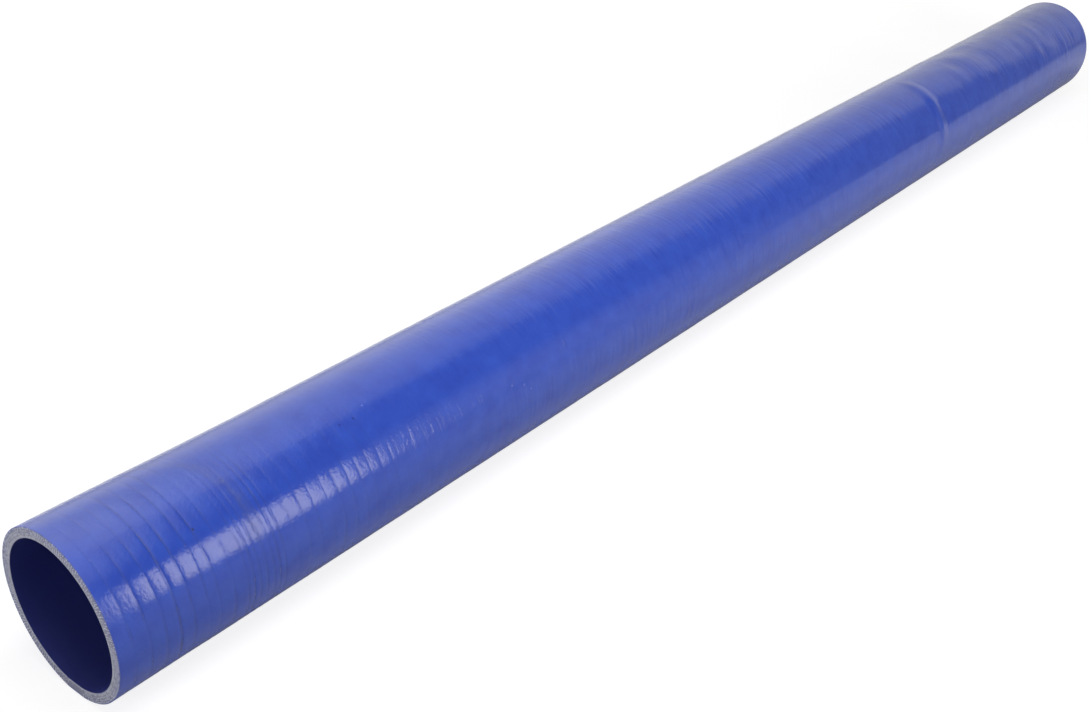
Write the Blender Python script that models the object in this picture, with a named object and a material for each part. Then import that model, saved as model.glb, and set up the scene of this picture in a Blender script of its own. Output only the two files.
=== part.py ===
"""Straight silicone hose, cut to one metre.

The hose is one piece: fabric plies and silicone laid up on a round mandrel and cured under a
spiral of wrapping tape, which leaves its edges printed in the skin. It lies on its side along X,
square cut at both ends. The bore is smooth, because the mandrel made it. Lengths are in metres
and +Z is up. The origin is on the surface that the hose lies on, below the middle of its length.
"""

import math

import bmesh
import bpy
import numpy as np

# The cut length, its bore and its wall
LENGTH = 1.000
BORE = 0.067
WALL = 0.005

# How far the hose's own weight presses its underside flat
FLAT_DEPTH = 0.0003

# The cut ends stand a little taller than wide, and the long way leans back at the crown
END_OVAL = 0.0007
END_OVAL_REACH = 0.110
END_OVAL_LEAN = math.radians(8)

# Wrapping tape: the edge of each turn prints a small step. The first turns print deeply, and
# further along only some of the turns do
TAPE_PITCH = 0.0066
TAPE_STEP_WIDTH = 0.0006
DEEP_STEP = 0.00020
DEEP_STEPS_REACH = 0.130
LIGHT_STEP = 0.00012
TURNS_PER_LIGHT_STEP = 5

# The ridge that a join in the tape leaves round the front of the hose. Its angle is counted from
# the underside, over the back and the crown
RIDGE_FROM_END = 0.713
RIDGE_HEIGHT = 0.0009
RIDGE_WIDTH = 0.020
RIDGE_ANGLE = math.radians(228)
RIDGE_SPAN = math.radians(170)

# Facets: sides round the hose, rows along the ridge and rows along the bore's oval ends
SIDES = 48
RIDGE_ROWS = 5
OVAL_ROWS = 5

# Sizes that follow from the ones above
OUTER_RADIUS = BORE / 2 + WALL
TAPE_RUN_OUT = 1.3 * TAPE_PITCH

# Silicone, in linear colour
SILICONE_BLUE = (0.025, 0.060, 0.440, 1.0)
SILICONE_ROUGHNESS = 0.25


def clear_scene():
    """Remove every object that the scene starts with."""
    for item in list(bpy.data.objects):
        bpy.data.objects.remove(item, do_unlink=True)


def silicone():
    """Glossy blue silicone rubber."""
    material = bpy.data.materials.new("blue_silicone")
    material.use_nodes = True
    shader = material.node_tree.nodes["Principled BSDF"]
    shader.inputs["Base Color"].default_value = SILICONE_BLUE
    shader.inputs["Roughness"].default_value = SILICONE_ROUGHNESS
    shader.inputs["Metallic"].default_value = 0.0
    return material


def oval_at(station):
    """How much taller than its radius the section is, at a distance from the near end."""
    from_end = min(station, LENGTH - station)
    if from_end >= END_OVAL_REACH:
        return 0.0
    return END_OVAL * math.cos(0.5 * math.pi * from_end / END_OVAL_REACH) ** 2


def tape_steps():
    """Distances from the near end of the tape edges that print, each with its step's depth."""
    steps = []
    station = TAPE_RUN_OUT
    while station < LENGTH - TAPE_RUN_OUT - TAPE_STEP_WIDTH:
        if station < DEEP_STEPS_REACH:
            steps.append((station, DEEP_STEP))
            station += TAPE_PITCH
        else:
            steps.append((station, LIGHT_STEP))
            station += TURNS_PER_LIGHT_STEP * TAPE_PITCH
    return steps


def skin_profile():
    """Stations along the skin and how far the tape pressed it in at each, from end to end."""
    stations = [0.0]
    depths = [0.0]
    for station, depth in tape_steps():
        stations += [station, station + TAPE_STEP_WIDTH]
        depths += [depth, 0.0]
    stations.append(LENGTH)
    depths.append(0.0)
    return stations, depths


def ridge_height(station, angles):
    """The ridge's height over the skin at a station, for each angle round the hose."""
    along = (station - RIDGE_FROM_END) / (0.5 * RIDGE_WIDTH)
    around = (angles - RIDGE_ANGLE) / (0.5 * RIDGE_SPAN)
    if abs(along) >= 1.0:
        return np.zeros_like(angles)
    swell = np.cos(0.5 * math.pi * np.clip(around, -1.0, 1.0)) ** 2
    return RIDGE_HEIGHT * math.cos(0.5 * math.pi * along) ** 2 * swell


def tape_lean(station, angles):
    """How far along the hose a turn of tape has crept at each angle. It dies out at the cuts."""
    stations = [0.0, TAPE_RUN_OUT, LENGTH - TAPE_RUN_OUT, LENGTH]
    share = np.interp(station, stations, [0.0, 1.0, 1.0, 0.0])
    return TAPE_PITCH * (angles / (2 * math.pi) - 0.5) * share


def ring(mesh, station, radius, floor, pressed=0.0, on_skin=False):
    """One ring of vertices round the hose, from one edge of the flat underside to the other."""
    edge = math.acos(1.0 - FLAT_DEPTH / radius)
    angles = np.linspace(edge, 2 * math.pi - edge, SIDES)
    oval = oval_at(station)
    radii = radius - pressed + oval * np.cos(2 * (angles + END_OVAL_LEAN))
    along = np.full(SIDES, station - 0.5 * LENGTH)
    if on_skin:
        radii += ridge_height(station, angles)
        along += tape_lean(station, angles)
    centre = floor + radius + oval * math.cos(2 * END_OVAL_LEAN) - FLAT_DEPTH
    across = radii * np.sin(angles)
    height = centre - radii * np.cos(angles)
    height[0] = floor
    height[-1] = floor
    return [mesh.verts.new(point) for point in zip(along, across, height)]


def skin_rings(mesh):
    """Rings along the outside: two at each tape edge, and a few over the ridge."""
    stations, depths = skin_profile()
    half = 0.5 * RIDGE_WIDTH
    ridge = np.linspace(RIDGE_FROM_END - half, RIDGE_FROM_END + half, RIDGE_ROWS)
    inside = ridge[(ridge > TAPE_RUN_OUT) & (ridge < LENGTH - TAPE_RUN_OUT)]
    rows = np.unique(np.concatenate([stations, inside]))
    pressed = np.interp(rows, stations, depths)
    return [ring(mesh, row, OUTER_RADIUS, 0.0, deep, True) for row, deep in zip(rows, pressed)]


def bore_rings(mesh):
    """Rings along the bore: only its oval ends need more than one."""
    reach = min(END_OVAL_REACH, 0.5 * LENGTH)
    near = np.linspace(0.0, reach, OVAL_ROWS)
    rows = np.unique(np.concatenate([near, LENGTH - near]))
    return [ring(mesh, row, 0.5 * BORE, WALL) for row in rows]


def join(mesh, first, second):
    """A band of faces between two rings, which closes across the flat underside."""
    for i in range(SIDES):
        j = (i + 1) % SIDES
        mesh.faces.new((first[i], first[j], second[j], second[i]))


def hose():
    """The whole hose: skin, bore and the two cut faces that join them."""
    mesh = bmesh.new()
    skin = skin_rings(mesh)
    bore = bore_rings(mesh)
    for rings in (skin, bore):
        for first, second in zip(rings, rings[1:]):
            join(mesh, first, second)
    join(mesh, skin[0], bore[0])
    join(mesh, skin[-1], bore[-1])
    bmesh.ops.recalc_face_normals(mesh, faces=mesh.faces)
    data = bpy.data.meshes.new("hose")
    mesh.to_mesh(data)
    mesh.free()
    data.shade_smooth()
    data.set_sharp_from_angle(angle=math.radians(35))
    data.materials.append(silicone())
    piece = bpy.data.objects.new("hose", data)
    bpy.context.collection.objects.link(piece)
    return piece


clear_scene()
hose()
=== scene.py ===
"""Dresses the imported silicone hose: its taped skin, its two cut ends with their yarn, and its bore.

The hose is laid up by hand on a steel mandrel: plies of polyester fabric and silicone, a thin blue
cover, and a spiral of nylon tape that squeezes them tight while they cure. The tape comes off and
its edges stay printed in the glossy skin, and then the hose is cut square to length. It lies on its
side along X with its near end at -X. Lengths are in metres. A station is a distance from the near
end, and an angle is counted from the underside, over the back and the crown, as in the part's
source.
"""

import math

import bpy
import numpy as np
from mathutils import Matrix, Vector


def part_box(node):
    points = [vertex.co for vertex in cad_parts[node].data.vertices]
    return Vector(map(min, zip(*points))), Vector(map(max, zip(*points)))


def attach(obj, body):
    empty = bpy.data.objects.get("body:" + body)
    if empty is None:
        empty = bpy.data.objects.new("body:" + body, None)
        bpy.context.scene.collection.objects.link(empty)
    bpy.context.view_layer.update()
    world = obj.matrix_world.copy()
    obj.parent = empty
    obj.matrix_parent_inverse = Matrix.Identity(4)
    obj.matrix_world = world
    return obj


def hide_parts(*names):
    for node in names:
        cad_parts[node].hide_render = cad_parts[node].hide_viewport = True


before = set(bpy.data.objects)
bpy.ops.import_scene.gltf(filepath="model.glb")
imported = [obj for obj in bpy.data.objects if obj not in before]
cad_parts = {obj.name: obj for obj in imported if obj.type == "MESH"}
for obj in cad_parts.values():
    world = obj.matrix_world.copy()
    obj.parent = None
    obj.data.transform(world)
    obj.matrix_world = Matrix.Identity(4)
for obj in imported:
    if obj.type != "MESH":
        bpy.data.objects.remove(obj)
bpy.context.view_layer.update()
hose_low, hose_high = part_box("hose")

# The hose's own sizes, as its source has them
LENGTH = hose_high.x - hose_low.x
BORE = 0.067
WALL = 0.005
FLAT_DEPTH = 0.0003
END_OVAL = 0.0007
END_OVAL_REACH = 0.110
END_OVAL_LEAN = math.radians(8)
SKIN_RADIUS = BORE / 2 + WALL
BORE_RADIUS = BORE / 2

# Wrapping tape. Its edges wander a little from turn to turn. They print deep near the first cut,
# where the tape was pulled tightest, and fade along the hose, and the deep ones get painted shade in
# their grooves. In a few turns there the tape was lapped twice, which prints an edge halfway
# between two others
TAPE_PITCH = 0.00662
FIRST_EDGE = 0.0069
EDGE_WANDER = 0.0005
LAPPED_TURNS = (8, 9, 10)
PRINT_STATIONS = (0.0, 0.050, 0.085, 0.125, 0.190, 0.400, 1.0)
PRINT_DEPTHS = (0.00012, 0.00012, 0.00010, 0.00007, 0.00002, 0.00002, 0.000015)
PRINT_SHADE = (0.80, 0.80, 0.45, 0.25, 0.08, 0.03, 0.03)
PRINT_STRENGTHS = (0.6, 1.2)

# A print's groove, across: places as shares of its half width, each with its share of the depth.
# Beyond a distance from the near end it has fewer rows
PRINT_HALF_WIDTH = 0.0009
FINE_GROOVE = ((-1.0, 0.0), (-0.45, 0.6), (0.0, 1.0), (0.45, 0.6), (1.0, 0.0))
COARSE_GROOVE = FINE_GROOVE[::2]
FINE_ROWS_REACH = 0.200

# Each print is deeper on one side of the hose. That side goes once round in this many turns of tape
PRINT_SWING = 0.25
TURNS_PER_SWING = 7.3

# The crown's prints fade between these stations, down to this share. Their painted shade fades less
CROWN_FADES = (0.000, 0.075)
CROWN_SHARE = 0.15
CROWN_SPAN = math.radians(50)
CROWN_SHADE_FADE = 0.4

# The tape leans by one pitch in each turn, and runs out square within this distance from each cut
TAPE_RUN_OUT = 1.3 * TAPE_PITCH

# How much each turn of the tape tilted the skin under it, evenly and in lobes round the hose. The
# skin is flattest in the first fifth of the hose
TILT_STATIONS = (0.0, 0.110, 0.190, 0.300, 0.700, 1.0)
TILTS = (0.000011, 0.000008, 0.000009, 0.000018, 0.000020, 0.000022)
TILT_LOBES = 7
EVEN_TILT = 0.5
LOBED_TILT = 0.85

# The ridge that a join in the tape left. It steps along the hose where the two tapes met
RIDGE_STATION = 0.709
RIDGE_HEIGHT = 0.0007
RIDGE_WIDTH = 0.018
RIDGE_ANGLE = math.radians(228)
RIDGE_SPAN = math.radians(118)
RIDGE_JOG = 0.0014
RIDGE_JOG_ANGLE = math.radians(224)
RIDGE_JOG_SPAN = math.radians(4)

# Dimples and low bumps past the ridge, where the tape ran slack: the area that they are in, their
# number and greatest depth, and the least and greatest reach of one, along and round the hose
SLACK_STATIONS = (0.745, 0.985)
SLACK_ANGLES = (math.radians(90), math.radians(238))
DIMPLES = 190
DIMPLE_DEPTH = 0.00028
DIMPLE_LENGTHS = (0.0051, 0.01275)
DIMPLE_SPANS = (math.radians(5.4), math.radians(14.4))

# Plies laid by hand: the lengths of their waves, each wave's height as a share of its length, and
# how many lobes it has round the hose at most
PLY_WAVES = (0.090, 0.055, 0.038, 0.027)
PLY_WAVE_SHARE = 0.0005
PLY_WAVE_LOBES = 4

# The knife eases the rims of its cuts by this much. The skin has one plain row close to each rim
RIM_EASE = 0.0002
RIM_ROW = 0.0030

# Shares of the wall, counted from the bore, where a cut face has its rings, and how far each stands
# out: bonds between the four plies are lowest. The knife's marks are rough between the smooth rims
PLY_LINES = ((0.04, 0.0), (0.09, -0.00005), (0.19, 0.0), (0.30, -0.00005), (0.41, 0.0),
             (0.52, -0.00005), (0.63, 0.0), (0.74, -0.00005), (0.84, 0.0), (0.92, -0.00004),
             (0.96, 0.0))
KNIFE_MARKS = 0.00003
SMOOTH_RIM = 0.05

# Rows along the bore: start, stop and number. They are closest near the cuts, where it is oval
BORE_ROWS = ((0.008, 0.152, 19), (0.18, 0.82, 17), (0.848, 0.992, 19))

# Yarn ends on the cut faces: how deep in the wall each ply's row is, the spacing of the yarns, the
# share that the knife buried, how far they stray across and along their row, and the least and
# greatest half length and half width of one stub
YARN_DEPTHS = (0.17, 0.40, 0.63, 0.85)
YARN_SPACING = 0.0014
YARNS_BURIED = 0.18
YARN_STRAY = 0.035
YARN_SHIFT = 0.2
YARN_LENGTHS = (0.000364, 0.000676)
YARN_WIDTHS = (0.000189, 0.000324)

# Each stub's rings, as a share of its size and how far they stand out of the cut
STUB_SIDES = 6
STUB_RINGS = ((1.0, -0.00012), (0.9, 0.00003), (0.5, 0.00010))

# The smear that a strap left round the hose: where it starts, its half width, how fast it drifts
# back along the hose past an angle, and the angles between which it fades in and out. Angles here
# and in the table below are in degrees from the crown, and the front's are negative
SMEAR_STATION = 0.0712
SMEAR_HALF_WIDTH = 0.0028
SMEAR_DRIFT = 0.0000045
SMEAR_DRIFTS_FROM = -45
SMEAR_FADES = (-74, -66, 20, 34)

# Small marks in the skin: station, angle, radius in millimetres and colour. Each is solid up to a
# share of its radius, and then fades out
MARK_SOLID = 0.4
MARKS = (
    (0.0474, -44, 0.70, "#202A62"), (0.1390, -33, 0.7, "#27368C"), (0.1310, -32, 0.7, "#27368C"),
    (0.1470, -28, 0.5, "#6C7ED0"), (0.1576, -64, 0.7, "#5A6BBE"), (0.1310, -66, 0.7, "#5A6BBE"),
    (0.2360, -73, 0.7, "#5768B8"), (0.2400, -79, 0.6, "#5768B8"), (0.2280, -69, 0.6, "#5768B8"),
    (0.9770, -14, 1.6, "#4A57A4"),
)

# The tape's weft left faint ribs in the skin, about 3 mm apart: their height, and how many there
# are in a millimetre along and round the hose. They are faintest up to where the deep prints end,
# and weaken again further along
RIB_HEIGHT = 0.00032
RIBS_PER_MM = (0.33, 0.030, 1.0)
RIB_STATIONS = (0.120, 0.260)
RIBS_FAINTEST = 0.10
RIBS_FADE = (0.450, 0.700)
RIBS_FADED = 0.5

# Patterns in the skin, as how many of their marks fit in a metre: clouds in its colour, scuffs,
# patches that break up the prints' painted shade and the handled roughness, ragged outlines of the
# marks above, and orange peel. The tape's threads are about 0.3 mm apart. Their relief is drawn
# about 1.3 mm wide, or it wouldn't show
CLOUDS = 100.0
SCUFFS = 260.0
PATCHES = 60.0
RAGGED = 900.0
PEEL = 130.0
THREADS = 750.0
RAGGED_REACH_MM = 0.8
PEEL_HEIGHT = 0.00005
THREAD_HEIGHT = 0.00007

# Shares drawn from those patterns: while the pattern goes from the first number to the second, the
# share goes from the third to the fourth
SMEAR_BROKEN = (0.30, 0.70, 0.15, 0.55)
# How the patches and the scuffs break up the painted shade in the prints
PRINT_SHADE_PATCHES = (0.38, 0.62, 0.15, 1.0)
PRINT_SHADE_BREAKS = (0.35, 0.65, 0.45, 1.0)
SKIN_ROUGHNESS = (0.30, 0.70, 0.05, 0.12)

# How much rougher the skin is where it is smeared, where its prints are painted with shade, or
# where it is handled, which it is near each cut
SMEAR_ROUGHER = 0.20
PRINT_SHADE_ROUGHER = 0.40
HANDLED_ROUGHER = 0.25
HANDLED = 0.018

# Silicone rubber's refractive index
SILICONE_IOR = 1.41

# The cut's colours, from the bore to the skin, by the share of the wall
CUT_COLOURS = (
    (0.00, "#9698B0"), (0.05, "#B0B2C5"), (0.25, "#9A9CB1"), (0.30, "#8688A1"), (0.35, "#9698AF"),
    (0.48, "#9496AF"), (0.52, "#82849F"), (0.57, "#9294AE"), (0.70, "#8E90AD"), (0.74, "#7C7F9E"),
    (0.79, "#8A8DAE"), (0.90, "#7A80AD"), (1.00, "#45549A"),
)

# Yarns are about 0.5 mm thick where they are cut. Their grain, in marks to a metre, is drawn about
# twice as coarse. It darkens and lightens the cut by a share, given as above, and roughens it
CUT_GRAIN = 900.0
CUT_SPECKLE = (0.35, 0.65, 0.84, 1.24)
CUT_RELIEF = 0.0001

# The bore's clouds, in marks to a metre, and its pale nibs: how many there are in a millimetre, and
# how each fades out from its middle
BORE_CLOUDS = 40.0
NIBS_PER_MM = 0.07
NIB_FADES = (0.025, 0.045, 0.6, 0.0)

# The yarn's filaments, in marks to a metre
FILAMENTS = 2500.0

# How strongly the surround lights the hose, besides being seen white
SURROUND_LIGHT = 0.11

# The floor lies just under the hose. By the distance from the hose, these rise from the third
# number to the fourth: the light that it bounces, how white the camera sees it, and how much gloss
# sees it lifted. Being lowest beside the hose, they are a painted shade round it, in the light
# that it bounces and in reflections. Its paint is darker for the camera, which keeps the hose's
# shadow soft
FLOOR_REACH = 8.0
FLOOR_DROP = -0.0003
FLOOR_BOUNCE = (0.02, 0.12, 0.54, 0.72)
FLOOR_WHITE = (0.08, 0.50, 0.84, 1.0)
FLOOR_IN_GLOSS = (0.025, 0.115, 0.07, 0.46)
FLOOR_PAINT = 0.30

# The tent that gloss sees: its radius, its faces round and up, and its dimmest light
TENT_RADIUS = 2.5
TENT_TURNS = 48
TENT_RISES = 12
TENT_BASE = 0.31

# Its white backdrop: the angles from +X towards +Y at which its two ends start and are full, its
# strength, and how it is dimmed near the floor, up to a height as a share of the tent's radius
BACKDROP_RIGHT = (math.radians(-22), math.radians(-4))
BACKDROP_LEFT = (math.radians(178), math.radians(160))
BACKDROP_STRENGTH = 0.68
BACKDROP_DIMMED = (0.0, 0.30, 0.70, 1.0)

# Its soft lamps: the angle from +X towards +Y and the rise of the way to each, in degrees, the
# cosines at which it starts and is full, its strength, and the most that the tent shows of it. They
# are the bright middle of the backdrop, a broad lamp behind, another overhead at the left, and the
# front lamp's spill on the wall beside it
TENT_LAMPS = (
    (41, 4, 0.94, 0.995, 0.20, 0.20), (90, 46, 0.44, 1.0, 0.95, 0.95),
    (175, 49, 0.30, 1.0, 5.0, 1.5), (-62, 6, 0.85, 0.99, 0.85, 0.85),
)

# The backdrop's near edge: how far it hangs past the hose's far end, its front and back, its foot
# and top, and how its light rises from front to back
EDGE_PAST_END = 0.30
EDGE_ACROSS = (-0.22, -0.05)
EDGE_HEIGHTS = (0.06, 0.50)
EDGE_RISES = (-0.21, -0.12, 0.27, 0.90)

# Softboxes that light the hose: place, aim, width, height and how bright the face is
SOFTBOXES = {
    "overhead_softbox": ((-0.27, -0.22, 0.78), (-0.20, 0.0, 0.04), 0.70, 0.56, 4.05),
    "left_softbox": ((-1.6, -0.25, 0.55), (-0.5, 0.0, 0.04), 0.5, 0.5, 5.0),
    "back_softbox": ((0.0, 1.6, 0.25), (0.0, 0.0, 0.05), 1.6, 0.4, 3.0),
    "far_softbox": ((1.0, -0.7, 0.25), (0.45, 0.0, 0.04), 0.4, 0.4, 2.8),
}

# The one that also shows in gloss, as the strip along the front. It is warm, and its face fades
# between these distances from its middle, as shares of its width and height
STRIP_SOFTBOX = ((0.27, -1.3, 0.43), (0.27, 0.0, 0.43), 0.58, 0.96, 6.1)
WARM_WHITE = (1.0, 0.94, 0.82)
FACE_FADES = (0.5, 0.22, 0.0, 1.0)

# Columns of faces round the hose, and the sharpest fold that still looks smooth
SIDES = 104
SMOOTH_UP_TO = math.radians(35)

# Material numbers on the hose's mesh
SKIN, CUT, BORE_SIDE = 0, 1, 2

WHITE = (1.0, 1.0, 1.0, 1.0)
MM_PER_METRE = 1000.0

random = np.random.default_rng(713)


def place_camera():
    """The photograph's own viewpoint, found by fitting the hose's outline."""
    data = bpy.data.cameras.new("camera")
    data.sensor_width = 36.0
    data.lens = 44.159
    camera = bpy.data.objects.new("camera", data)
    camera.location = (-0.69242, -0.39993, 0.37886)
    camera.rotation_euler = (math.radians(90 - 29.159), 0.0, math.radians(-50.71))
    bpy.context.collection.objects.link(camera)
    bpy.context.scene.camera = camera


def linear(hex_colour):
    """An sRGB colour, written as hex, in linear light."""
    parts = [int(hex_colour[i:i + 2], 16) / 255 for i in (1, 3, 5)]
    bright = [p / 12.92 if p <= 0.04045 else ((p + 0.055) / 1.055) ** 2.4 for p in parts]
    return (*bright, 1.0)


def add(tree, kind, inputs=(), **settings):
    """Adds one node to a tree, with its settings. Its inputs are given in order or by name. Each is
    a value, or the socket that feeds it."""
    made = tree.nodes.new("ShaderNode" + kind)
    for name, value in settings.items():
        setattr(made, name, value)
    for socket, value in inputs.items() if isinstance(inputs, dict) else enumerate(inputs):
        if isinstance(value, bpy.types.NodeSocket):
            tree.links.new(value, made.inputs[socket])
        else:
            made.inputs[socket].default_value = value
    return made


def new_material(name):
    """An empty material with its Principled shader."""
    material = bpy.data.materials.new(name)
    material.use_nodes = True
    return material, material.node_tree, material.node_tree.nodes["Principled BSDF"]


# Shape of the hose


def oval_at(stations):
    """How much taller than its radius the section is at each station."""
    from_end = np.minimum(stations, LENGTH - stations)
    share = np.clip(from_end / END_OVAL_REACH, 0.0, 1.0)
    return END_OVAL * np.cos(0.5 * math.pi * share) ** 2


def angles_of(radius):
    """The angles of one ring's points, from one edge of the flat underside to the other."""
    edge = math.acos(1.0 - FLAT_DEPTH / radius)
    return np.linspace(edge, 2 * math.pi - edge, SIDES)


def rings(stations, radius, floor, raised=0.0, leaning=0.0):
    """Rings of points round the hose, one for each station, as an array of rows by sides."""
    angles = angles_of(radius)
    oval = oval_at(stations)[:, None]
    radii = radius + raised + oval * np.cos(2 * (angles + END_OVAL_LEAN))
    centre = floor + radius + oval * math.cos(2 * END_OVAL_LEAN) - FLAT_DEPTH
    along = stations[:, None] - 0.5 * LENGTH + leaning
    height = centre - radii * np.cos(angles)
    height[:, 0] = floor
    height[:, -1] = floor
    return np.stack([np.broadcast_to(along, height.shape), radii * np.sin(angles), height], -1)


def tape_edges():
    """Where the tape's edges lie, how deep each of them is printed and how much painted shade it
    gets.
    """
    count = int((LENGTH - 2 * FIRST_EDGE) / TAPE_PITCH) + 1
    stations = FIRST_EDGE + TAPE_PITCH * np.arange(count)
    wander = random.normal(0, EDGE_WANDER, count)
    stations += np.clip(wander, -2 * EDGE_WANDER, 2 * EDGE_WANDER)
    lapped = [0.5 * (stations[turn] + stations[turn + 1]) for turn in LAPPED_TURNS]
    stations = np.sort(np.concatenate([stations, lapped]))
    strengths = random.uniform(*PRINT_STRENGTHS, len(stations))
    depths = np.interp(stations, PRINT_STATIONS, PRINT_DEPTHS) * strengths
    print_shade = np.interp(stations, PRINT_STATIONS, PRINT_SHADE) * strengths
    return stations, depths, np.minimum(print_shade, 1.0)


def turn_tilts(stations, angles):
    """How much each turn of the tape tilted the skin under it, at each angle."""
    lobes = np.arange(1, TILT_LOBES + 1)[:, None]
    waves = np.concatenate([np.cos(lobes * angles), np.sin(lobes * angles)])
    waves /= math.sqrt(TILT_LOBES)
    even = random.normal(0, EVEN_TILT, (len(stations), 1))
    lobed = random.normal(0, LOBED_TILT, (len(stations), len(waves))) @ waves
    return (even + lobed) * np.interp(stations, TILT_STATIONS, TILTS)[:, None]


def print_rows():
    """Rows along the skin: each one's station, how deep the tape's edge is there, how much painted
    shade it gets, its turn's number and its share of the turn's tilt."""
    edges, depths, print_shade = tape_edges()
    rows = [(RIM_EASE, 0.0, 0.0, 0, 0.0), (RIM_ROW, 0.0, 0.0, 0, 0.0)]
    for i, edge in enumerate(edges):
        for place, share in FINE_GROOVE if edge < FINE_ROWS_REACH else COARSE_GROOVE:
            turn = i if place < 0 else i + 1
            station = edge + place * PRINT_HALF_WIDTH
            rows.append((station, depths[i] * share, print_shade[i] * share, turn, float(np.sign(place))))
        if i + 1 < len(edges):
            start, stop = edge + PRINT_HALF_WIDTH, edges[i + 1] - PRINT_HALF_WIDTH
            for share in (1 / 3, 2 / 3):
                rows.append((start + (stop - start) * share, 0.0, 0.0, i + 1, 1 - 2 * share))
    rows += [(LENGTH - RIM_ROW, 0.0, 0.0, 0, 0.0), (LENGTH - RIM_EASE, 0.0, 0.0, 0, 0.0)]
    return np.array(rows).T, edges


def ridge_height(stations, angles):
    """The ridge's height over the skin, at each station and angle."""
    crest = RIDGE_STATION + RIDGE_JOG * np.tanh((RIDGE_JOG_ANGLE - angles) / RIDGE_JOG_SPAN)
    along = np.clip((stations[:, None] - crest) / (0.5 * RIDGE_WIDTH), -1.0, 1.0)
    around = np.clip(np.abs(angles - RIDGE_ANGLE) / (0.5 * RIDGE_SPAN), 0.0, 1.0)
    along, around = (np.cos(0.5 * math.pi * share) ** 2 for share in (along, around ** 2))
    return RIDGE_HEIGHT * along * around


def waviness(stations, angles):
    """The slight unevenness of plies that were laid by hand."""
    height = np.zeros((len(stations), len(angles)))
    for length in PLY_WAVES:
        lobes = random.integers(1, PLY_WAVE_LOBES + 1)
        turn, start = random.uniform(0, 2 * math.pi, 2)
        wave = np.sin(2 * math.pi * stations[:, None] / length + turn)
        height += PLY_WAVE_SHARE * length * wave * np.cos(lobes * angles + start)
    return height


def dimples(stations, angles):
    """The dimples and low bumps under slack tape."""
    height = np.zeros((len(stations), len(angles)))
    for _ in range(DIMPLES):
        station = random.uniform(*SLACK_STATIONS)
        angle = random.uniform(*SLACK_ANGLES)
        length = random.uniform(*DIMPLE_LENGTHS)
        span = random.uniform(*DIMPLE_SPANS)
        away = ((stations[:, None] - station) / length) ** 2 + ((angles - angle) / span) ** 2
        height += DIMPLE_DEPTH * random.uniform(-1, 1) * np.exp(-away)
    return height


def skin_rings():
    """The outside of the hose, from rim to rim, with each ring's station before the tape's lean and
    the painted shade of the prints on its points."""
    (stations, depths, print_shade, turns, shares), edges = print_rows()
    angles = angles_of(SKIN_RADIUS)
    tilts = turn_tilts(np.append(edges, LENGTH), angles)[turns.astype(int)]
    swing = 2 * math.pi * stations[:, None] / TAPE_PITCH / TURNS_PER_SWING
    uneven = 1 - PRINT_SWING + PRINT_SWING * np.sin(angles + swing)
    crown = np.exp(-((angles - math.pi) / CROWN_SPAN) ** 2)
    faded = crown * np.interp(stations, CROWN_FADES, (0.0, 1.0 - CROWN_SHARE))[:, None]
    raised = shares[:, None] * tilts - depths[:, None] * uneven * (1 - faded)
    raised += ridge_height(stations, angles)
    raised += waviness(stations, angles)
    raised += dimples(stations, angles)
    run_out = (0.0, TAPE_RUN_OUT, LENGTH - TAPE_RUN_OUT, LENGTH)
    share = np.interp(stations, run_out, (0.0, 1.0, 1.0, 0.0))
    leaning = TAPE_PITCH * (angles / (2 * math.pi) - 0.5) * share[:, None]
    leaning[[0, -1]] = 0.0
    # The painted shade in the prints, weaker on the crown
    print_shade = print_shade[:, None] * uneven * (1 - CROWN_SHADE_FADE * faded)
    return rings(stations, SKIN_RADIUS, 0.0, raised, leaning), stations, print_shade


def bore_rings():
    """The bore, from near rim to far rim, and each ring's station."""
    inside = [np.linspace(*rows) for rows in BORE_ROWS]
    stations = np.concatenate([[RIM_EASE], *inside, [LENGTH - RIM_EASE]])
    return rings(stations, BORE_RADIUS, WALL), stations


def wall_rims(station):
    """The rims of a cut: its points on the bore and on the skin."""
    here = np.array([station])
    return rings(here, BORE_RADIUS, WALL)[0], rings(here, SKIN_RADIUS, 0.0)[0]


def cut_rings(station, outward):
    """A cut face, from the bore's rim to the skin's, and each ring's share of the wall. The knife
    leaves the bonds between plies lowest."""
    inner, outer = wall_rims(station)
    drawn = []
    for depth, relief in PLY_LINES:
        ring = inner + (outer - inner) * depth
        marks = random.uniform(-KNIFE_MARKS, 0.0, SIDES) * (SMOOTH_RIM < depth < 1 - SMOOTH_RIM)
        ring[:, 0] += outward * (relief + marks)
        drawn.append(ring)
    return np.array(drawn), np.array(PLY_LINES)[:, 0]


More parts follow.
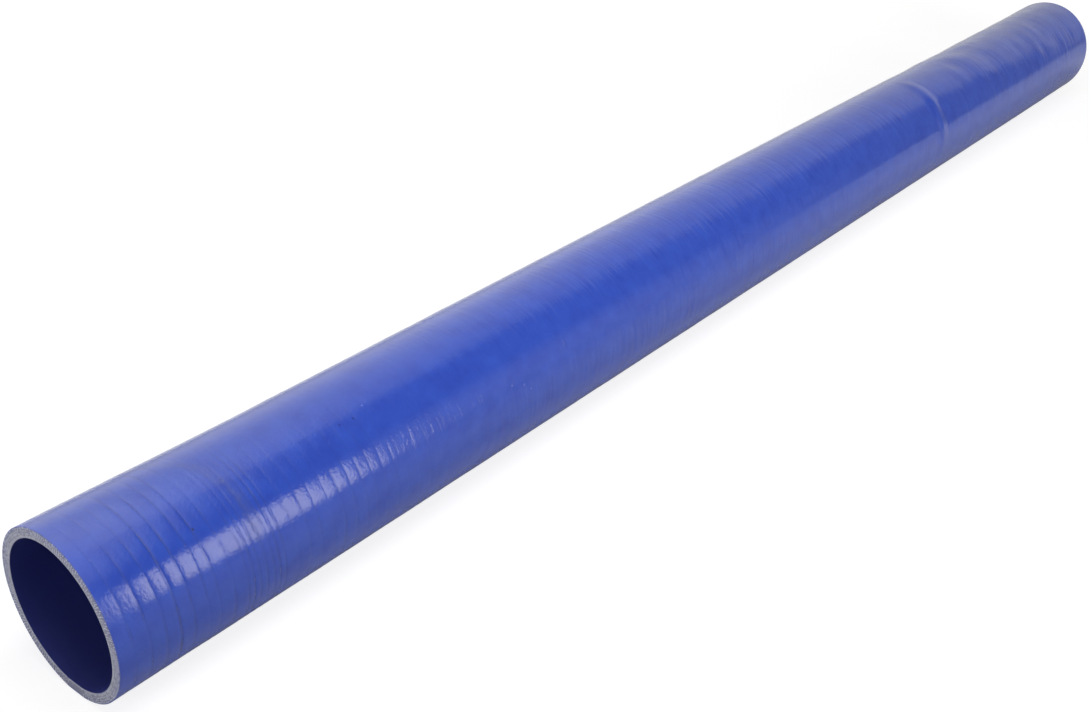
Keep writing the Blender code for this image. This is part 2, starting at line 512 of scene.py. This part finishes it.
def hose_piece():
    """The hose as one closed mesh: skin, far cut, bore and near cut, each with its own finish."""
    skin, skin_stations, print_shade = skin_rings()
    bore, bore_stations = bore_rings()
    near, near_depths = cut_rings(0.0, -1)
    far, far_depths = cut_rings(LENGTH, 1)
    loops = np.concatenate([skin, far[::-1], bore[::-1], near])
    count = len(loops)
    row = np.arange(count)[:, None]
    side = np.arange(SIDES)[None, :]
    next_row = (row + 1) % count
    next_side = (side + 1) % SIDES
    faces = np.stack(np.broadcast_arrays(row * SIDES + side, row * SIDES + next_side,
                                         next_row * SIDES + next_side, next_row * SIDES + side), -1)
    mesh = bpy.data.meshes.new("silicone_hose")
    mesh.from_pydata(loops.reshape(-1, 3).tolist(), [], faces.reshape(-1, 4).tolist())

    bands = np.full(count, CUT)
    bands[:len(skin) - 1] = SKIN
    bands[len(skin) + len(far):len(skin) + len(far) + len(bore) - 1] = BORE_SIDE
    mesh.polygons.foreach_set("material_index", np.repeat(bands, SIDES).astype(np.int32))

    depths = [np.ones(len(skin)), far_depths[::-1], np.zeros(len(bore)), near_depths]
    add_mask(mesh, "wall_depth", np.repeat(np.concatenate(depths), SIDES))
    # Masks for the strap's smear and for the painted shade in the prints
    for name, marked in (("smear", smeared(skin)), ("print_shade", print_shade)):
        mask = np.zeros((count, SIDES))
        mask[:len(skin)] = marked
        add_mask(mesh, name, mask.ravel())
    stations = [skin_stations, np.full(len(far), LENGTH), bore_stations[::-1], np.zeros(len(near))]
    lay_out_for_baking(mesh, loops, bands, np.concatenate(stations))

    mesh.shade_smooth()
    mesh.set_sharp_from_angle(angle=SMOOTH_UP_TO)
    for material in (cured_cover(), cut_plies(), mandrel_side()):
        mesh.materials.append(material)
    return finish_piece(mesh)


def add_mask(mesh, name, values):
    """A number for each point of a mesh, for its materials to read."""
    data = mesh.attributes.new(name, "FLOAT", "POINT").data
    data.foreach_set("value", values.astype(np.float32))


def finish_piece(mesh):
    """Puts a mesh in the scene as a piece that rides with the hose."""
    mesh.validate()
    piece = bpy.data.objects.new(mesh.name, mesh)
    bpy.context.collection.objects.link(piece)
    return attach(piece, "root")


def smeared(skin):
    """How strongly each point of the skin is marked by the strap's smear."""
    turned = np.degrees(math.pi - angles_of(SKIN_RADIUS))
    middle = SMEAR_STATION - SMEAR_DRIFT * np.clip(turned - SMEAR_DRIFTS_FROM, 0, None) ** 2
    away = (skin[..., 0] + 0.5 * LENGTH - middle) / SMEAR_HALF_WIDTH
    return np.exp(-away ** 2) * np.interp(turned, SMEAR_FADES, (0.0, 1.0, 1.0, 0.0))


def lay_out_for_baking(mesh, loops, bands, station):
    """Lays the hose out flat for its textures: skin in four lengths, two by two, the bore in four
    lengths over one another beside it, and the two cuts above the skin."""
    margin = 0.006
    skin_size, skin_step = (0.40, 0.39), (0.41, 0.405)
    bore_left, bore_size, bore_step = 0.834, (0.16, 0.19), 0.2
    cut_middles, cut_height, cut_scale = (0.097, 0.287), 0.907, 2.2

    count = len(loops)
    around = np.arange(SIDES + 1) / SIDES
    corners = np.empty((count, SIDES, 4, 2))
    for band in range(count):
        ends = (band, (band + 1) % count)
        if bands[band] == CUT:
            left = cut_middles[int(station[band] > 0.5 * LENGTH)]
            corner = (left, cut_height - SKIN_RADIUS * cut_scale)
            closed = (np.vstack([loops[k], loops[k][:1]])[:, 1:] for k in ends)
            first, second = (ring * cut_scale + corner for ring in closed)
        else:
            middle = 0.5 * (station[ends[0]] + station[ends[1]])
            length = min(int(4 * middle / LENGTH), 3)
            if bands[band] == SKIN:
                column, row = length % 2, length // 2
                left, bottom = margin + skin_step[0] * column, margin + skin_step[1] * row
                wide, tall = skin_size
            else:
                left, bottom = bore_left, margin + bore_step * length
                wide, tall = bore_size
            across = [left + wide * (4 * station[k] / LENGTH - length) for k in ends]
            first, second = (np.stack([np.full(SIDES + 1, x), bottom + tall * around], 1)
                             for x in across)
        corners[band] = np.stack([first[:-1], first[1:], second[1:], second[:-1]], 1)
    layer = mesh.uv_layers.new(name="OFBake")
    layer.data.foreach_set("uv", corners.astype(np.float32).ravel())


def add_stub(points, faces, centre, radial, outward):
    """One yarn's end: a low stub that stands a little out of the cut."""
    sideways = np.array([0.0, -radial[2], radial[1]])
    long = random.uniform(*YARN_LENGTHS)
    wide = random.uniform(*YARN_WIDTHS)
    start = len(points)
    for size, lift in STUB_RINGS:
        for turn in 2 * math.pi * np.arange(STUB_SIDES) / STUB_SIDES:
            reach = radial * math.cos(turn) * long + sideways * math.sin(turn) * wide
            points.append(tuple(centre + size * reach + np.array([outward * lift, 0.0, 0.0])))
    order = list(range(STUB_SIDES))[::outward]
    top = start + (len(STUB_RINGS) - 1) * STUB_SIDES
    faces.append([start + k for k in order[::-1]])
    for low in range(start, top, STUB_SIDES):
        high = low + STUB_SIDES
        faces.extend([low + a, low + b, high + b, high + a]
                     for a, b in zip(order, order[1:] + order[:1]))
    faces.append([top + k for k in order])


def yarn_ends():
    """The cut ends of the plies' yarns, in a row along each ply of both cuts."""
    points, faces = [], []
    count = int(2 * math.pi * SKIN_RADIUS / YARN_SPACING)
    for station, outward in ((0.0, -1), (LENGTH, 1)):
        inner, outer = wall_rims(station)
        for depth in YARN_DEPTHS:
            for k in range(count):
                if random.random() < YARNS_BURIED:
                    continue
                turned = (k + random.uniform(-YARN_SHIFT, YARN_SHIFT)) / count % 1 * (SIDES - 1)
                i, part = int(turned), turned % 1
                share = depth + random.uniform(-YARN_STRAY, YARN_STRAY)
                before, after = (inner[j] + (outer[j] - inner[j]) * share for j in (i, i + 1))
                radial = outer[i] - inner[i]
                radial /= np.linalg.norm(radial)
                add_stub(points, faces, before + (after - before) * part, radial, outward)
    mesh = bpy.data.meshes.new("cut_yarn_ends")
    mesh.from_pydata(points, [], faces)
    mesh.shade_smooth()
    mesh.materials.append(polyester_yarn())
    return finish_piece(mesh)


# Finishes


def unrolled(tree):
    """A place on the hose in millimetres: along it, and round it at the skin's radius."""
    parts = add(tree, "SeparateXYZ", [add(tree, "TexCoord").outputs["Object"]]).outputs
    height = add(tree, "Math", (parts["Z"], SKIN_RADIUS), operation="SUBTRACT").outputs[0]
    angle = add(tree, "Math", (parts["Y"], height), operation="ARCTAN2").outputs[0]
    along = add(tree, "Math", (parts["X"], MM_PER_METRE), operation="MULTIPLY").outputs[0]
    radius = MM_PER_METRE * SKIN_RADIUS
    around = add(tree, "Math", (angle, radius), operation="MULTIPLY").outputs[0]
    return add(tree, "CombineXYZ", (along, around)).outputs[0]


def near_mark(tree, flat, station, turned, radius):
    """1 at a mark on the skin and 0 away from it. Its angle is in degrees from the crown."""
    around = math.radians(turned) * SKIN_RADIUS
    middle = (MM_PER_METRE * (station - 0.5 * LENGTH), MM_PER_METRE * around, 0.0)
    away = add(tree, "VectorMath", (flat, middle), operation="DISTANCE").outputs["Value"]
    return add(tree, "MapRange", (away, MARK_SOLID * radius, radius, 1.0, 0.0)).outputs[0]


def cured_cover():
    """Silicone rubber, cured against nylon tape. It is glossy, almost as the tape was, with the
    tape's weave and a slight orange peel in it, so reflections have clean but uneven edges. The
    tape's prints are painted darker and greyer and made rougher, as painted shade in their grooves,
    and a strap's smear dulls it and takes its blue away. Hands have dulled it near the cuts."""
    material, tree, shader = new_material("cured_silicone_cover")
    place = add(tree, "TexCoord").outputs["Object"]
    flat = unrolled(tree)
    clouds, scuffs, patches, threads, peel = (
        add(tree, "TexNoise", {"Vector": place, "Scale": scale, "Detail": detail}).outputs["Fac"]
        for scale, detail in ((CLOUDS, 4.0), (SCUFFS, 4.0), (PATCHES, 2.0), (THREADS, 2.0),
                              (PEEL, 2.0)))
    tint = add(tree, "Mix", {0: clouds, 6: linear("#233DA7"), 7: linear("#3658C3")},
               data_type="RGBA").outputs[2]

    smear = add(tree, "Attribute", attribute_name="smear").outputs["Fac"]
    broken = add(tree, "MapRange", (scuffs, *SMEAR_BROKEN)).outputs[0]
    dulled = add(tree, "Math", (smear, broken), operation="MULTIPLY").outputs[0]
    tint = add(tree, "Mix", {0: dulled, 6: tint, 7: linear("#45508C")}, data_type="RGBA").outputs[2]

    # Painted shade in the tape's prints: their grooves are painted darker and greyer, in patches
    print_shade = add(tree, "Attribute", attribute_name="print_shade").outputs["Fac"]
    shade_patches = add(tree, "MapRange", (patches, *PRINT_SHADE_PATCHES)).outputs[0]
    shade_breaks = add(tree, "MapRange", (scuffs, *PRINT_SHADE_BREAKS)).outputs[0]
    shaded_prints = add(tree, "Math", (print_shade, shade_patches), operation="MULTIPLY").outputs[0]
    shaded_prints = add(tree, "Math", (shaded_prints, shade_breaks), operation="MULTIPLY").outputs[0]
    tint = add(tree, "Mix", {0: shaded_prints, 6: tint, 7: linear("#2F3A74")}, data_type="RGBA").outputs[2]

    ragged = add(tree, "TexNoise", {"Vector": place, "Scale": RAGGED}).outputs["Color"]
    reach = (RAGGED_REACH_MM, RAGGED_REACH_MM, 0.0)
    twice = tuple(2 * part for part in reach)
    pushed = add(tree, "VectorMath", (ragged, twice, flat), operation="MULTIPLY_ADD").outputs[0]
    pushed = add(tree, "VectorMath", (pushed, reach), operation="SUBTRACT").outputs[0]
    for station, turned, radius, colour in MARKS:
        marked = near_mark(tree, pushed, station, turned, radius)
        tint = add(tree, "Mix", {0: marked, 6: tint, 7: linear(colour)},
                   data_type="RGBA").outputs[2]
    tree.links.new(tint, shader.inputs["Base Color"])

    rough = add(tree, "MapRange", (scuffs, *SKIN_ROUGHNESS)).outputs[0]
    along = add(tree, "SeparateXYZ", [place]).outputs["X"]
    from_middle = add(tree, "Math", [along], operation="ABSOLUTE").outputs[0]
    near_cut = (0.5 * LENGTH - HANDLED, 0.5 * LENGTH, 0.0, 1.0)
    handled = add(tree, "MapRange", (from_middle, *near_cut)).outputs[0]
    handled = add(tree, "Math", (handled, patches), operation="MULTIPLY").outputs[0]
    for worse, by in ((dulled, SMEAR_ROUGHER), (handled, HANDLED_ROUGHER), (shaded_prints, PRINT_SHADE_ROUGHER)):
        rough = add(tree, "Math", (worse, by, rough), operation="MULTIPLY_ADD").outputs[0]
    tree.links.new(rough, shader.inputs["Roughness"])
    shader.inputs["IOR"].default_value = SILICONE_IOR

    # Relief: the tape's threads, then the weft's ribs, which wander and break off, then orange peel
    drawn = add(tree, "Mapping", {"Vector": flat, "Scale": RIBS_PER_MM}).outputs[0]
    weft = add(tree, "TexNoise", {"Vector": drawn, "Scale": 1.0, "Detail": 3.0}).outputs["Fac"]
    shares = []
    for stations, low, high in ((RIB_STATIONS, RIBS_FAINTEST, 1.0), (RIBS_FADE, 1.0, RIBS_FADED)):
        start, stop = (station - 0.5 * LENGTH for station in stations)
        shares.append(add(tree, "MapRange", (along, start, stop, low, high)).outputs[0])
    clear = add(tree, "Math", shares, operation="MULTIPLY").outputs[0]
    relief = {}
    for strength, distance, height in ((1.0, THREAD_HEIGHT, threads), (clear, RIB_HEIGHT, weft),
                                       (1.0, PEEL_HEIGHT, peel)):
        inputs = {"Strength": strength, "Distance": distance, "Height": height, **relief}
        relief = {"Normal": add(tree, "Bump", inputs).outputs[0]}
    tree.links.new(relief["Normal"], shader.inputs["Normal"])
    return material


def cut_plies():
    """Polyester fabric and silicone, cut by a knife: pale and dull, speckled by cut yarns, with a
    thin blue-grey line at each bond and the blue cover at the rim."""
    material, tree, shader = new_material("cut_ply_edge")
    depth = add(tree, "Attribute", attribute_name="wall_depth").outputs["Fac"]
    layers = add(tree, "ValToRGB", [depth])
    ramp = layers.color_ramp.elements
    while len(ramp) < len(CUT_COLOURS):
        ramp.new(0.5)
    for element, (position, colour) in zip(ramp, CUT_COLOURS):
        element.position = position
        element.color = linear(colour)
    place = add(tree, "TexCoord").outputs["Object"]
    noise = add(tree, "TexNoise", {"Vector": place, "Scale": CUT_GRAIN, "Detail": 2.0})
    grain = noise.outputs["Fac"]
    speckle = add(tree, "MapRange", (grain, *CUT_SPECKLE)).outputs[0]
    lit = add(tree, "Mix", {0: 1.0, 6: layers.outputs[0], 7: speckle}, data_type="RGBA",
              blend_type="MULTIPLY").outputs[2]
    rough = add(tree, "Bump", {"Strength": 1.0, "Distance": CUT_RELIEF, "Height": grain}).outputs[0]
    tree.links.new(lit, shader.inputs["Base Color"])
    tree.links.new(rough, shader.inputs["Normal"])
    shader.inputs["Roughness"].default_value = 0.6
    shader.inputs["IOR"].default_value = 1.45
    return material


def mandrel_side():
    """Silicone rubber, cured against a steel mandrel: even and satin. Its colour is painted darker
    than the skin's, as painted shade inside the bore.
    """
    material, tree, shader = new_material("mandrel_silicone_bore")
    place = add(tree, "TexCoord").outputs["Object"]
    # The bore's colours are darker than the skin's: painted shade inside the tube
    clouds = add(tree, "TexNoise", {"Vector": place, "Scale": BORE_CLOUDS, "Detail": 3.0})
    tint = add(tree, "Mix", {0: clouds.outputs["Fac"], 6: linear("#2A3176"), 7: linear("#333C88")},
               data_type="RGBA").outputs[2]
    inputs = {"Vector": unrolled(tree), "Scale": NIBS_PER_MM, "Randomness": 1.0}
    nibs = add(tree, "TexVoronoi", inputs).outputs["Distance"]
    speck = add(tree, "MapRange", (nibs, *NIB_FADES)).outputs[0]
    tint = add(tree, "Mix", {0: speck, 6: tint, 7: linear("#7078A8")}, data_type="RGBA").outputs[2]
    tree.links.new(tint, shader.inputs["Base Color"])
    shader.inputs["Roughness"].default_value = 0.35
    shader.inputs["IOR"].default_value = SILICONE_IOR
    return material


def polyester_yarn():
    """Polyester yarn, cut through: off-white and dull, with fine filaments."""
    material, tree, shader = new_material("cut_polyester_yarn")
    place = add(tree, "TexCoord").outputs["Object"]
    fuzz = add(tree, "TexNoise", {"Vector": place, "Scale": FILAMENTS, "Detail": 2.0})
    tint = add(tree, "Mix", {0: fuzz.outputs["Fac"], 6: linear("#BEC1D0"), 7: linear("#E2E4EE")},
               data_type="RGBA").outputs[2]
    tree.links.new(tint, shader.inputs["Base Color"])
    shader.inputs["Roughness"].default_value = 0.8
    return material


# Studio


def seen(tree):
    """Two shares: 1 for what the camera sees directly, and 1 for what it sees in gloss or glass."""
    path = add(tree, "LightPath").outputs
    gloss = add(tree, "Math", (path["Is Glossy Ray"], path["Is Transmission Ray"]),
                operation="MAXIMUM").outputs[0]
    return path["Is Camera Ray"], gloss


def white_world():
    """A white surround where it is seen, and a soft even light where it isn't."""
    world = bpy.data.worlds.new("studio")
    bpy.context.scene.world = world
    world.use_nodes = True
    tree = world.node_tree
    shown = add(tree, "Math", seen(tree), operation="MAXIMUM").outputs[0]
    strength = add(tree, "MapRange", (shown, 0.0, 1.0, SURROUND_LIGHT, 1.0)).outputs[0]
    background = tree.nodes["Background"]
    background.inputs["Color"].default_value = WHITE
    tree.links.new(strength, background.inputs["Strength"])


def white_floor():
    """A plain white floor. To the camera it is lifted to the white of the surround, except for the
    hose's soft shadow. Gloss sees it less lifted, and darkest beside the hose, and it bounces least
    light there: a painted shade round the hose."""
    mesh = bpy.data.meshes.new("floor")
    corners = [(x * FLOOR_REACH, y * FLOOR_REACH, FLOOR_DROP)
               for x, y in ((-1, -1), (1, -1), (1, 1), (-1, 1))]
    mesh.from_pydata(corners, [], [(0, 1, 2, 3)])
    material, tree, shader = new_material("white_floor")
    camera, gloss = seen(tree)
    parts = add(tree, "SeparateXYZ", [add(tree, "TexCoord").outputs["Object"]]).outputs
    aside = add(tree, "Math", [parts["Y"]], operation="ABSOLUTE").outputs[0]
    beyond = add(tree, "Math", [parts["X"]], operation="ABSOLUTE").outputs[0]
    beyond = add(tree, "Math", (beyond, 0.5 * LENGTH), operation="SUBTRACT").outputs[0]
    away = add(tree, "Math", (aside, beyond), operation="MAXIMUM").outputs[0]
    # Lowest beside the hose: a painted shade round it, in its bounce, to the camera and in gloss
    bounced, shown_white, lifted = (
        add(tree, "MapRange", (away, *rise), interpolation_type="SMOOTHSTEP").outputs[0]
        for rise in (FLOOR_BOUNCE, FLOOR_WHITE, FLOOR_IN_GLOSS))
    paint = add(tree, "MapRange", (camera, 0.0, 1.0, bounced, FLOOR_PAINT)).outputs[0]
    lift = add(tree, "Math", (gloss, lifted), operation="MULTIPLY").outputs[0]
    glow = add(tree, "Math", (camera, shown_white, lift), operation="MULTIPLY_ADD").outputs[0]
    matt = add(tree, "BsdfDiffuse", {"Color": paint}).outputs[0]
    light = add(tree, "Emission", {"Color": WHITE, "Strength": glow}).outputs[0]
    surface = add(tree, "AddShader", (matt, light)).outputs[0]
    tree.nodes.remove(shader)
    tree.links.new(surface, tree.nodes["Material Output"].inputs["Surface"])
    mesh.materials.append(material)
    floor = bpy.data.objects.new("floor", mesh)
    bpy.context.collection.objects.link(floor)


def softbox(name, place, aim, width, height, radiance, colour=None):
    """A flat soft lamp, given by how bright its face is. One with a colour shows in gloss, and its
    face fades towards its four edges."""
    data = bpy.data.lights.new(name, "AREA")
    data.shape = "RECTANGLE"
    data.size = width
    data.size_y = height
    data.energy = radiance * math.pi * width * height
    if colour:
        data.color = colour
        data.use_nodes = True
        tree = data.node_tree
        face = add(tree, "NewGeometry").outputs["Parametric"]
        parts = add(tree, "SeparateXYZ", [face]).outputs
        fades = []
        for axis in ("X", "Y"):
            away = add(tree, "Math", (parts[axis], 0.5), operation="SUBTRACT").outputs[0]
            away = add(tree, "Math", [away], operation="ABSOLUTE").outputs[0]
            fades.append(add(tree, "MapRange", (away, *FACE_FADES),
                             interpolation_type="SMOOTHSTEP").outputs[0])
        strength = add(tree, "Math", fades, operation="MULTIPLY").outputs[0]
        tree.links.new(strength, tree.nodes["Emission"].inputs["Strength"])
    lamp = bpy.data.objects.new(name, data)
    lamp.location = place
    lamp.rotation_euler = (Vector(aim) - Vector(place)).to_track_quat("-Z", "Y").to_euler()
    lamp.visible_camera = False
    lamp.visible_glossy = bool(colour)
    bpy.context.collection.objects.link(lamp)


def dome():
    """Half a ball with a radius of 1: its points, the top and then rows from the foot up, and its
    faces."""
    points = [(0.0, 0.0, 1.0)]
    for rise in range(TENT_RISES):
        points += [direction(360 * turn / TENT_TURNS, 90 * rise / TENT_RISES)
                   for turn in range(TENT_TURNS)]
    faces = []
    for rise in range(TENT_RISES):
        start = 1 + rise * TENT_TURNS
        for turn in range(TENT_TURNS):
            a, b = start + turn, start + (turn + 1) % TENT_TURNS
            above = (b + TENT_TURNS, a + TENT_TURNS) if rise + 1 < TENT_RISES else (0,)
            faces.append((a, b, *above))
    return points, faces


def light_tent():
    """What gloss sees above the floor: an unlit front, a white backdrop from the right round to the
    left, and the soft lamps."""
    points, faces = dome()
    mesh = bpy.data.meshes.new("light_tent")
    mesh.from_pydata(points, [], faces)
    material, tree, _ = new_material("light_tent")
    way = add(tree, "VectorMath", [add(tree, "TexCoord").outputs["Object"]],
              operation="NORMALIZE").outputs[0]
    parts = add(tree, "SeparateXYZ", [way]).outputs
    turned = add(tree, "Math", (parts["Y"], parts["X"]), operation="ARCTAN2").outputs[0]
    backdrop = add(tree, "MapRange", (parts["Z"], *BACKDROP_DIMMED)).outputs[0]
    for end, strength in ((BACKDROP_RIGHT, BACKDROP_STRENGTH), (BACKDROP_LEFT, 1.0)):
        share = add(tree, "MapRange", (turned, *end, 0.0, strength),
                    interpolation_type="SMOOTHSTEP").outputs[0]
        backdrop = add(tree, "Math", (backdrop, share), operation="MULTIPLY").outputs[0]
    total = add(tree, "Math", (backdrop, TENT_BASE), operation="ADD").outputs[0]
    for azimuth, elevation, start, stop, strength, most in TENT_LAMPS:
        aim = direction(azimuth, elevation)
        facing = add(tree, "VectorMath", (way, aim), operation="DOT_PRODUCT").outputs["Value"]
        lamp = add(tree, "MapRange", (facing, start, stop, 0.0, strength),
                   interpolation_type="SMOOTHSTEP").outputs[0]
        lamp = add(tree, "Math", (lamp, most), operation="MINIMUM").outputs[0]
        total = add(tree, "Math", (lamp, total), operation="ADD").outputs[0]
    show_in_gloss(mesh, material, total, TENT_RADIUS)


def backdrop_edge():
    """The near edge of the backdrop, which hangs past the hose's far end. It is soft in gloss."""
    mesh = bpy.data.meshes.new("backdrop_edge")
    x = 0.5 * LENGTH + EDGE_PAST_END
    (front, back), (low, high) = EDGE_ACROSS, EDGE_HEIGHTS
    corners = [(x, front, low), (x, back, low), (x, back, high), (x, front, high)]
    mesh.from_pydata(corners, [], [(0, 1, 2, 3)])
    material, tree, _ = new_material("backdrop_edge")
    parts = add(tree, "SeparateXYZ", [add(tree, "TexCoord").outputs["Object"]]).outputs
    lit = add(tree, "MapRange", (parts["Y"], *EDGE_RISES), interpolation_type="SMOOTHSTEP")
    show_in_gloss(mesh, material, lit.outputs[0])


def show_in_gloss(mesh, material, strength, size=1.0):
    """Puts a glowing surface in the studio that nothing but gloss sees."""
    tree = material.node_tree
    glow = add(tree, "Emission", {"Strength": strength}).outputs[0]
    tree.nodes.remove(tree.nodes["Principled BSDF"])
    tree.links.new(glow, tree.nodes["Material Output"].inputs["Surface"])
    mesh.materials.append(material)
    surface = bpy.data.objects.new(mesh.name, mesh)
    surface.scale = (size, size, size)
    bpy.context.collection.objects.link(surface)
    for kind in ("camera", "diffuse", "transmission", "volume_scatter", "shadow"):
        setattr(surface, "visible_" + kind, False)


def direction(azimuth, elevation):
    """A direction from the hose, by its turn from +X towards +Y and its rise, in degrees."""
    turn, rise = math.radians(azimuth), math.radians(elevation)
    return (math.cos(turn) * math.cos(rise), math.sin(turn) * math.cos(rise), math.sin(rise))


place_camera()
hose = hose_piece()
yarns = yarn_ends()
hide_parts("hose")

white_world()
white_floor()
light_tent()
backdrop_edge()
for name, lamp in SOFTBOXES.items():
    softbox(name, *lamp)
softbox("front_softbox", *STRIP_SOFTBOX, colour=WARM_WHITE)

bpy.context.scene.view_settings.view_transform = "Standard"
